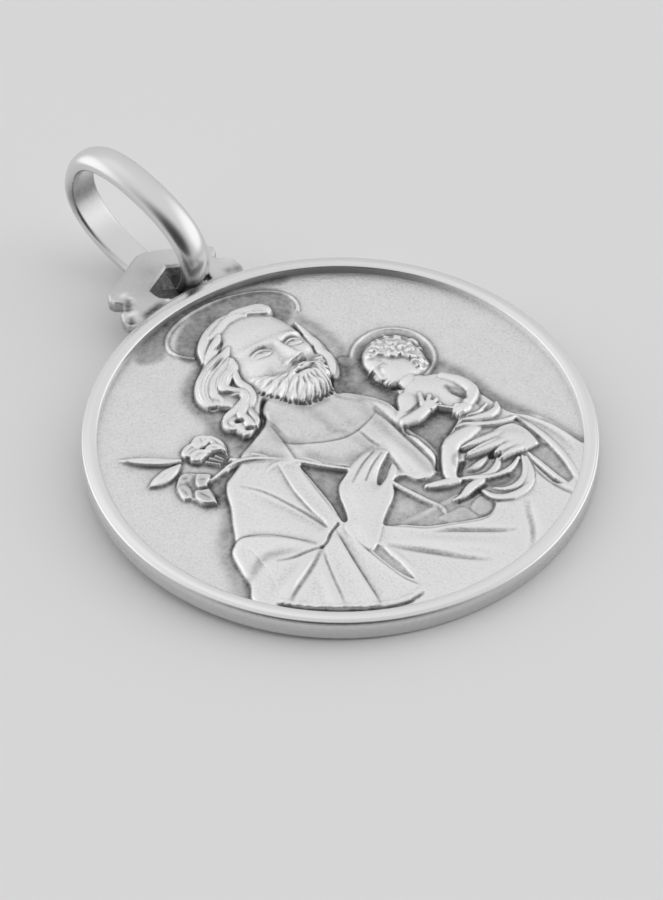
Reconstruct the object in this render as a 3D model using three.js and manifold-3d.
// A religious medal pendant: a struck silver disc with a raised rim, a saint in relief who holds a lily
// and a child, an eyelet lug at the top, and the oval bail that hangs in the lug.
//
// Millimetres, +Z up. The origin is the middle of the flat back, +Y points to the lug. The medal lies on
// its back, propped up a little by the bail, so its face leans a few degrees from the table's plane.

import * as THREE from 'three';
import { mergeVertices } from 'three/addons/utils/BufferGeometryUtils.js';
import Module from 'manifold-3d';

const wasm = await Module();
wasm.setup();

// Driving dimensions of the disc
const discRadius = 12.5;
const rimWidth = 0.73;
const rimHeight = 1.1;
const rimCrown = 0.1;
const edgeRound = 0.12;
const fieldSink = 0.4;
const reliefRise = 1.15;
const reliefTurn = 1;

// Driving dimensions of the lug, the eyelet block on the rim
const lugWidth = 7.2;
const lugReach = 4.0;
const lugThickness = 0.66;
const lugSink = 0.1;
const lugRoot = 0.4;
const holeWidth = 3.9;
const holeHeight = 2.16;
const holeOffset = 0.68;
const holeGap = 0.25;

// Driving dimensions of the bail, which stands on edge in the hole, and how it stands
const bailLength = 9.1;
const bailHeight = 6.6;
const bailWidth = 1.8;
const bailThickness = 0.85;
const bailSquareness = 2.34;
const bailAside = 0.52;
const bailClearance = 0.26;
const bailTurn = 9.5;
const bailTilt = 17.2;
const bailSink = 0.15;

// Fineness of the facets
const gridCells = 56;
const bailSteps = 60;
const footSteps = 8;

const fieldRadius = discRadius - rimWidth;
const fieldLevel = rimHeight - fieldSink;
const radians = THREE.MathUtils.degToRad;
const seam = 0.05;

// The relief is laid out in hundredths of the field's radius (places and widths) and in hundredths of
// reliefRise (heights above the field). A raised point is seen further up and to the right by its height
// over the rim, so each place is brought back along that sight line.
const share = fieldRadius / 100;
const sightLine = { x: 0.643, y: 0.766 };

// Outlines filled as low slabs with rounded edges: rise at the middle, roll is the width of the edge
const slabs = [
  { name: 'cloak and robe', rise: 52, roll: 26, outline: [
    [-21, 21], [-32, 19], [-42, 16], [-54, 7], [-62, -4], [-72, -20], [-77, -26], [-80, -37], [-86, -50],
    [-95, -60], [-70, -95], [0, -115], [60, -100], [86, -78], [71, -62], [68, -50], [63, -40], [60, -30],
    [48, -27], [35, -27], [31, -10], [26, 2], [17, 18], [6, 22], [-6, 24]] },
  { name: 'cloth under the child', rise: 62, roll: 8, outline: [
    [13, -61], [22, -53], [36, -50], [52, -56], [58, -62], [48, -73], [36, -76], [26, -72]] },
];

// Rounded masses: half-axes long and wide, turned counter-clockwise
const masses = [
  { name: 'saint head', x: 9, y: 54, long: 27, wide: 18, turn: 98, rise: 100 },
  { name: 'saint beard', x: 4, y: 33, long: 15, wide: 12, turn: 0, rise: 92 },
  { name: 'saint neck', x: -6, y: 18, long: 18, wide: 16, turn: 110, rise: 66 },
  { name: 'saint chest', x: 2, y: -10, long: 26, wide: 20, turn: 100, rise: 66 },
  { name: 'saint shoulder', x: -45, y: -18, long: 30, wide: 22, turn: 60, rise: 66 },
  { name: 'child head', x: 43, y: 20, long: 14, wide: 12.5, turn: 20, rise: 92 },
  { name: 'child trunk', x: 45, y: -10, long: 17, wide: 12, turn: 95, rise: 76 },
  { name: 'supporting hand', x: 53, y: -46, long: 11, wide: 10, turn: 10, rise: 88 },
  { name: 'open lily', x: -49, y: 27, long: 9, wide: 8, turn: 0, rise: 55 },
  { name: 'nodding lily', x: -64, y: 12, long: 9, wide: 6.5, turn: 60, rise: 50 },
];

// Tapered round rods from one end to the other: girth is the half-width
const rods = [
  { name: 'crown hair', x0: -10, y0: 69, x1: 4, y1: 79, girth0: 7, girth1: 6, rise: 88 },
  { name: 'forelock', x0: 4, y0: 79, x1: 22, y1: 79, girth0: 6, girth1: 6, rise: 88 },
  { name: 'temple lock', x0: -6, y0: 70, x1: -24, y1: 58, girth0: 6, girth1: 7, rise: 84 },
  { name: 'falling lock', x0: -24, y0: 58, x1: -28, y1: 40, girth0: 8, girth1: 7, rise: 78 },
  { name: 'curled lock', x0: -24, y0: 44, x1: -29, y1: 25, girth0: 7, girth1: 5, rise: 70 },
  { name: 'far lock', x0: 27, y0: 56, x1: 26, y1: 36, girth0: 4, girth1: 4, rise: 60 },
  { name: 'outer bud', x0: -80, y0: 43, x1: -62, y1: 27, girth0: 1.2, girth1: 2.4, rise: 34 },
  { name: 'lower bud', x0: -80, y0: 23.5, x1: -64, y1: 26.5, girth0: 2, girth1: 3, rise: 34 },
  { name: 'lily stem', x0: -56, y0: 15, x1: -29, y1: 2, girth0: 1.8, girth1: 1.8, rise: 68 },
  { name: 'stem at the chest', x0: -29, y0: 2, x1: -11, y1: -19, girth0: 1.8, girth1: 1.8, rise: 84 },
  { name: 'stem below the hand', x0: -3, y0: -37, x1: 4, y1: -62, girth0: 1.8, girth1: 1.8, rise: 80 },
  { name: 'blessing wrist', x0: -34, y0: -57, x1: -22, y1: -42, girth0: 8, girth1: 9, rise: 88 },
  { name: 'blessing fingers', x0: -20, y0: -36, x1: 4, y1: -20, girth0: 8, girth1: 4, rise: 96 },
  { name: 'thumb', x0: -10, y0: -42, x1: 4, y1: -31, girth0: 3.5, girth1: 2.5, rise: 92 },
  { name: 'sleeve cuff', x0: -42, y0: -46, x1: -48, y1: -88, girth0: 7, girth1: 7, rise: 72 },
  { name: 'sleeve lining', x0: -36, y0: -46, x1: -31, y1: -86, girth0: 5, girth1: 6, rise: 64 },
  { name: 'right lapel', x0: 17, y0: 16, x1: 30, y1: -12, girth0: 2.5, girth1: 3, rise: 74 },
  { name: 'left lapel', x0: -27, y0: 2, x1: -36, y1: -42, girth0: 4.5, girth1: 4, rise: 66 },
  { name: 'child near arm', x0: 30, y0: -3, x1: 25, y1: -13, girth0: 5.5, girth1: 5, rise: 78 },
  { name: 'child near forearm', x0: 25, y0: -13, x1: 40, y1: -12, girth0: 5, girth1: 3.5, rise: 90 },
  { name: 'child far arm', x0: 57, y0: -4, x1: 62, y1: -18, girth0: 5.5, girth1: 5, rise: 76 },
  { name: 'child far forearm', x0: 62, y0: -18, x1: 50, y1: -22, girth0: 5, girth1: 4, rise: 84 },
  { name: 'waist cloth', x0: 42, y0: -27, x1: 62, y1: -32, girth0: 5, girth1: 5, rise: 76 },
  { name: 'child thigh', x0: 46, y0: -32, x1: 30, y1: -33, girth0: 7.5, girth1: 7, rise: 86 },
  { name: 'child shin', x0: 29, y0: -34, x1: 19, y1: -50, girth0: 6.5, girth1: 4, rise: 84 },
  { name: 'child foot', x0: 19, y0: -52, x1: 7, y1: -48, girth0: 3.8, girth1: 2.4, rise: 74 },
  { name: 'upper fingers', x0: 48, y0: -42, x1: 34, y1: -41, girth0: 4, girth1: 2, rise: 84 },
  { name: 'lower fingers', x0: 48, y0: -50, x1: 36, y1: -46, girth0: 4, girth1: 2, rise: 80 },
  { name: 'cloth fold', x0: 24, y0: -55, x1: 46, y1: -52, girth0: 4, girth1: 4, rise: 74 },
  { name: 'hanging sleeve', x0: 64, y0: -42, x1: 56, y1: -84, girth0: 2.5, girth1: 3, rise: 62 },
  { name: 'sleeve edge', x0: 55, y0: -62, x1: 50, y1: -86, girth0: 2, girth1: 3, rise: 58 },
];

// Valleys pressed into the cloth: dent is their depth in hundredths of reliefRise
const valleys = [
  { name: 'arm fold', x0: -47, y0: -46, x1: -70, y1: -24, girth0: 3, girth1: 2, dent: 14 },
  { name: 'elbow fold', x0: -48, y0: -47, x1: -76, y1: -42, girth0: 3, girth1: 2, dent: 14 },
  { name: 'lower elbow fold', x0: -49, y0: -48, x1: -74, y1: -60, girth0: 3, girth1: 2, dent: 14 },
  { name: 'sleeve fold', x0: -50, y0: -50, x1: -58, y1: -78, girth0: 3, girth1: 2, dent: 14 },
  { name: 'chest opening', x0: -26, y0: -12, x1: -36, y1: -42, girth0: 4, girth1: 3, dent: 18 },
  { name: 'belt', x0: -16, y0: -60, x1: 12, y1: -74, girth0: 2.5, girth1: 2.5, dent: 14 },
  { name: 'knee fold', x0: -24, y0: -62, x1: 0, y1: -92, girth0: 3, girth1: 2, dent: 14 },
  { name: 'lap fold', x0: -6, y0: -68, x1: 18, y1: -88, girth0: 3, girth1: 2, dent: 14 },
  { name: 'hem fold', x0: 34, y0: -78, x1: 18, y1: -98, girth0: 3, girth1: 3, dent: 16 },
  { name: 'sleeve hollow', x0: 60, y0: -58, x1: 56, y1: -78, girth0: 3, girth1: 3, dent: 16 },
];

// Thin raised halos: a ring line round each head
const halos = [
  { name: 'saint halo', x: 5.5, y: 78, long: 30, wide: 17, turn: -9, line: 2, rise: 16 },
  { name: 'child halo', x: 45, y: 20, long: 18.5, wide: 18.5, turn: 0, line: 2, rise: 16 },
];

// Turns a place in the relief's own layout into millimetres on the medal
function reliefPlace(x, y, rise) {
  const overRim = (rise / 100) * reliefRise - fieldSink;
  return new THREE.Vector2(x * share - sightLine.x * overRim, y * share - sightLine.y * overRim);
}

// Distance from a point to a stretch, and how far along the stretch it falls
function toStretch(point, start, end) {
  const run = end.clone().sub(start);
  const along = THREE.MathUtils.clamp(point.clone().sub(start).dot(run) / run.lengthSq(), 0, 1);
  const distance = point.distanceTo(start.clone().addScaledVector(run, along));
  return { distance, along };
}

function insideOutline(point, outline) {
  let inside = false;
  outline.forEach((corner, i) => {
    const last = outline[(i + outline.length - 1) % outline.length];
    const crosses = (corner.y > point.y) !== (last.y > point.y);
    if (crosses && point.x < ((last.x - corner.x) * (point.y - corner.y)) / (last.y - corner.y) + corner.x) {
      inside = !inside;
    }
  });
  return inside;
}

// A slab's height: full inside, rounded down to nothing over the width of its edge
function slabHeight(point, slab) {
  if (!insideOutline(point, slab.corners)) return 0;
  const edges = slab.corners.map((corner, i) => {
    const next = slab.corners[(i + 1) % slab.corners.length];
    return toStretch(point, corner, next).distance;
  });
  const depth = Math.min(1, Math.min(...edges) / (slab.roll * share));
  return slab.rise * Math.sqrt(1 - (1 - depth) ** 3);
}

// The place of a point in an oval's own axes, where the oval is the unit circle
function ovalRadius(point, oval) {
  const own = point.clone().sub(oval.centre).rotateAround(new THREE.Vector2(), -radians(oval.turn));
  return Math.hypot(own.x / (oval.long * share), own.y / (oval.wide * share));
}

function massHeight(point, mass) {
  const radius = ovalRadius(point, mass);
  return radius < 1 ? mass.rise * (1 - radius ** 2.6) ** 0.6 : 0;
}

function rodHeight(point, rod) {
  const { distance, along } = toStretch(point, rod.start, rod.end);
  const girth = share * THREE.MathUtils.lerp(rod.girth0, rod.girth1, along);
  return distance < girth ? rod.rise * Math.sqrt(1 - (distance / girth) ** 2) : 0;
}

function haloHeight(point, halo) {
  const offLine = Math.abs(ovalRadius(point, halo) - 1) * halo.wide;
  return offLine < halo.line ? halo.rise * (1 - offLine / halo.line) : 0;
}

function valleyDepth(point, valley) {
  const { distance, along } = toStretch(point, valley.start, valley.end);
  const girth = share * THREE.MathUtils.lerp(valley.girth0, valley.girth1, along);
  return distance < girth ? valley.dent * (1 - (distance / girth) ** 2) : 0;
}

// The tables' rows with their places worked out in millimetres
const placedSlabs = slabs.map((row) => (
  { ...row, corners: row.outline.map(([x, y]) => reliefPlace(x, y, row.rise * 0.6)) }));
const placedMasses = masses.map((row) => ({ ...row, centre: reliefPlace(row.x, row.y, row.rise * 0.75) }));
const placedHalos = halos.map((row) => ({ ...row, centre: reliefPlace(row.x, row.y, row.rise) }));
const placeStretch = (row, rise) => (
  { ...row, start: reliefPlace(row.x0, row.y0, rise), end: reliefPlace(row.x1, row.y1, rise) });
const placedRods = rods.map((row) => placeStretch(row, row.rise));
const placedValleys = valleys.map((row) => placeStretch(row, slabs[0].rise));

// Height of the relief above the field, in millimetres
function reliefHeight(point) {
  const heights = [
    0,
    ...placedSlabs.map((slab) => slabHeight(point, slab)),
    ...placedMasses.map((mass) => massHeight(point, mass)),
    ...placedRods.map((rod) => rodHeight(point, rod)),
    ...placedHalos.map((halo) => haloHeight(point, halo)),
  ];
  const dents = placedValleys.map((valley) => valleyDepth(point, valley));
  const cloth = slabHeight(point, placedSlabs[0]);
  const dent = cloth > 0 ? Math.max(...dents) : 0;
  const top = Math.max(...heights);
  return (reliefRise / 100) * Math.max(0, top > cloth * 1.6 ? top : top - dent);
}

// The mean height round a point, so that a coarse facet takes its share of every form it covers
function facetHeight(point, reach) {
  const offsets = [-1, 0, 1].flatMap((i) => [-1, 0, 1].map((j) => [i * reach, j * reach]));
  const heights = offsets.map(([dx, dy]) => reliefHeight(new THREE.Vector2(point.x + dx, point.y + dy)));
  return heights.reduce((sum, height) => sum + height) / heights.length;
}

// Spreads a square's grid evenly over the unit disc: each square ring becomes a circle
function squareToDisc(u, v) {
  if (u === 0 && v === 0) return new THREE.Vector2();
  const reach = Math.max(Math.abs(u), Math.abs(v));
  const angle = Math.abs(u) > Math.abs(v)
    ? (Math.PI / 4) * (v / u) + (u < 0 ? Math.PI : 0)
    : Math.PI / 2 - (Math.PI / 4) * (u / v) + (v < 0 ? Math.PI : 0);
  return new THREE.Vector2(Math.cos(angle), Math.sin(angle)).multiplyScalar(reach);
}

// The struck disc as one closed skin: relief grid, then rings over the rim and down the edge, then back
function discGeometry() {
  const points = [];
  const faces = [];
  const n = gridCells;
  const at = (i, j) => j * (n + 1) + i;
  for (let j = 0; j <= n; j += 1) {
    for (let i = 0; i <= n; i += 1) {
      const place = squareToDisc((2 * i) / n - 1, (2 * j) / n - 1).multiplyScalar(fieldRadius);
      const own = place.clone().rotateAround(new THREE.Vector2(), -radians(reliefTurn));
      const height = place.length() < fieldRadius - seam ? facetHeight(own, fieldRadius / (2 * n)) : 0;
      points.push(new THREE.Vector3(place.x, place.y, fieldLevel + height));
    }
  }
  for (let j = 0; j < n; j += 1) {
    for (let i = 0; i < n; i += 1) {
      const corners = [at(i, j), at(i + 1, j), at(i + 1, j + 1), at(i, j + 1)];
      const fallsLeft = (i < n / 2) === (j < n / 2);
      if (fallsLeft) {
        faces.push(corners[0], corners[1], corners[2], corners[0], corners[2], corners[3]);
      } else {
        faces.push(corners[0], corners[1], corners[3], corners[1], corners[2], corners[3]);
      }
    }
  }
  let ring = [];
  for (let i = 0; i < n; i += 1) ring.push(at(i, 0));
  for (let j = 0; j < n; j += 1) ring.push(at(n, j));
  for (let i = n; i > 0; i -= 1) ring.push(at(i, n));
  for (let j = n; j > 0; j -= 1) ring.push(at(0, j));

  const rimProfile = [
    [fieldRadius + 0.04, rimHeight],
    [fieldRadius + rimWidth * 0.35, rimHeight + rimCrown],
    [fieldRadius + rimWidth * 0.7, rimHeight + rimCrown],
    [discRadius, rimHeight - edgeRound],
    [discRadius, edgeRound],
    [discRadius - edgeRound, 0],
  ];
  rimProfile.forEach(([radius, height]) => {
    const next = ring.map((index) => {
      const { x, y } = points[index];
      const out = new THREE.Vector2(x, y).setLength(radius);
      return points.push(new THREE.Vector3(out.x, out.y, height)) - 1;
    });
    ring.forEach((index, k) => {
      const after = (k + 1) % ring.length;
      faces.push(index, next[k], next[after], index, next[after], ring[after]);
    });
    ring = next;
  });
  const middle = points.push(new THREE.Vector3(0, 0, 0)) - 1;
  ring.forEach((index, k) => faces.push(index, middle, ring[(k + 1) % ring.length]));

  const geometry = new THREE.BufferGeometry().setFromPoints(points);
  geometry.setIndex(faces);
  return geometry;
}

// Half of the lug's outline from the rim to the peak: across is a share of the half-width, out a share
// of the reach. It has a foot, a notch, a rounded shoulder and a straight slope to the blunt peak.
const lugOutline = [
  { across: 1.0, out: 0.0 }, { across: 1.0, out: 0.12 }, { across: 0.95, out: 0.22 },
  { across: 0.84, out: 0.29 }, { across: 0.8, out: 0.36 }, { across: 0.89, out: 0.43 },
  { across: 0.92, out: 0.51 }, { across: 0.87, out: 0.6 }, { across: 0.72, out: 0.67 },
  { across: 0.2, out: 0.94 }, { across: 0.08, out: 0.99 },
];

// The hole's outline, pierced by hand: across is a share of its half-width, up a share of its height
const holeOutline = [
  { across: -0.74, up: 0.0 }, { across: 0.87, up: 0.0 }, { across: 1.0, up: 0.5 },
  { across: 0.81, up: 0.87 }, { across: 0.18, up: 0.87 }, { across: -0.1, up: 1.0 },
  { across: -0.99, up: 0.57 }, { across: -0.95, up: 0.2 },
];

const rimTop = discRadius;
const holeFoot = rimTop + holeGap;

function lugGeometry() {
  const halfWidth = lugWidth / 2;
  const right = lugOutline.map(({ across, out }) => [across * halfWidth, rimTop + out * lugReach]);
  const left = [...right].reverse().map(([x, y]) => [-x, y]);
  const footRadius = discRadius - lugRoot;
  const footAngle = Math.asin(halfWidth / footRadius);
  const foot = Array.from({ length: footSteps + 1 }, (_, k) => {
    const angle = footAngle * (2 * (k / footSteps) - 1);
    return [footRadius * Math.sin(angle), footRadius * Math.cos(angle)];
  });
  const outline = [...foot, ...right, ...left];
  const shape = new THREE.Shape(outline.map(([x, y]) => new THREE.Vector2(x, y)));
  const hole = holeOutline.map(({ across, up }) => (
    new THREE.Vector2(holeOffset + (across * holeWidth) / 2, holeFoot + up * holeHeight)));
  shape.holes.push(new THREE.Path(hole));
  const geometry = new THREE.ExtrudeGeometry(shape, { depth: lugThickness, bevelEnabled: false });
  geometry.translate(0, 0, rimHeight - lugSink - lugThickness);
  return geometry;
}

// The bail's middle line: an oval a little squarer than an ellipse, long side along its own X
function bailLine(t) {
  const power = 2 / bailSquareness;
  const bend = (value) => Math.sign(value) * Math.abs(value) ** power;
  const long = (bailLength - bailThickness) / 2;
  const high = (bailHeight - bailThickness) / 2;
  return new THREE.Vector2(long * bend(Math.cos(t)), high * bend(Math.sin(t)));
}

// The bail's D section: flat on the inside, a low arch on the outside; out is away from the opening
function bailSection() {
  const steps = 6;
  const flat = -bailThickness * 0.5;
  const shoulder = -bailThickness * 0.2;
  const section = [new THREE.Vector2(flat, bailWidth * 0.42)];
  for (let k = 0; k <= steps; k += 1) {
    const angle = Math.PI / 2 - (Math.PI * k) / steps;
    const out = shoulder + (bailThickness * 0.5 - shoulder) * Math.cos(angle);
    section.push(new THREE.Vector2(out, (bailWidth / 2) * Math.sin(angle)));
  }
  section.push(new THREE.Vector2(flat, -bailWidth * 0.42));
  return section;
}

// The bail round its own middle, in its own plane: X along, Y up, Z across
function bailGeometry() {
  const section = bailSection();
  const points = [];
  const faces = [];
  const step = 1e-3;
  for (let i = 0; i < bailSteps; i += 1) {
    const t = (2 * Math.PI * (i + 0.5)) / bailSteps;
    const centre = bailLine(t);
    const run = bailLine(t + step).sub(bailLine(t - step)).normalize();
    const outward = new THREE.Vector2(run.y, -run.x);
    section.forEach((corner) => {
      const place = centre.clone().addScaledVector(outward, corner.x);
      points.push(new THREE.Vector3(place.x, place.y, corner.y));
    });
  }
  const m = section.length;
  for (let i = 0; i < bailSteps; i += 1) {
    const next = (i + 1) % bailSteps;
    for (let k = 0; k < m; k += 1) {
      const up = (k + 1) % m;
      const [a, b, c, d] = [i * m + k, next * m + k, next * m + up, i * m + up];
      faces.push(a, d, b, b, d, c);
    }
  }
  const geometry = new THREE.BufferGeometry().setFromPoints(points);
  geometry.setIndex(faces);
  return geometry;
}

function toSolid(geometry) {
  const bare = geometry.clone();
  bare.deleteAttribute('normal');
  bare.deleteAttribute('uv');
  const merged = mergeVertices(bare, 1e-4);
  return new wasm.Manifold(new wasm.Mesh({
    numProp: 3,
    vertProperties: new Float32Array(merged.attributes.position.array),
    triVerts: new Uint32Array(merged.index.array),
  }));
}

function toGeometry(solid) {
  const mesh = solid.getMesh();
  const geometry = new THREE.BufferGeometry();
  geometry.setAttribute('position', new THREE.BufferAttribute(mesh.vertProperties, 3));
  geometry.setIndex(new THREE.BufferAttribute(mesh.triVerts, 1));
  geometry.computeVertexNormals();
  return geometry;
}

const silver = { color: 0xb9b9b7, metalness: 1 };

// The disc and its lug are one piece of metal
const medal = new THREE.Mesh(
  toGeometry(toSolid(discGeometry()).add(toSolid(lugGeometry()))),
  new THREE.MeshStandardMaterial({ ...silver, roughness: 0.45 }),
);
medal.name = 'medal';

// The bail stands on edge: it threads the hole, and its lower side passes under the lug's outer bar
const bail = new THREE.Mesh(
  bailGeometry(),
  new THREE.MeshStandardMaterial({ ...silver, roughness: 0.2 }),
);
bail.name = 'bail';

// The bail's own axes on the medal: along its length, up its height, across its width
const along = new THREE.Vector3(0, 1, 0)
  .applyAxisAngle(new THREE.Vector3(1, 0, 0), radians(bailTilt))
  .applyAxisAngle(new THREE.Vector3(0, 0, 1), radians(bailTurn));
const across = new THREE.Vector3(1, 0, 0).applyAxisAngle(new THREE.Vector3(0, 0, 1), radians(bailTurn));
const upward = across.clone().cross(along);
const bailEnd = new THREE.Vector3(
  holeOffset + bailAside,
  holeFoot + bailClearance,
  rimHeight - lugSink - bailSink,
);
bail.quaternion.setFromRotationMatrix(new THREE.Matrix4().makeBasis(along, upward, across));
bail.position.copy(bailEnd).addScaledVector(along, bailLength / 2);
bail.updateMatrix();

// The medal leans on the front of its rim and on the bail's lowest point: the angle between the two
const frontReach = discRadius - edgeRound;
const bailPoints = bail.geometry.clone().applyMatrix4(bail.matrix).attributes.position;
let leanAngle = 0;
for (let i = 0; i < bailPoints.count; i += 1) {
  leanAngle = Math.max(leanAngle, Math.atan2(-bailPoints.getZ(i), bailPoints.getY(i) + frontReach));
}

const pendant = new THREE.Group();
pendant.add(medal, bail);
pendant.rotation.x = leanAngle;

export default pendant;
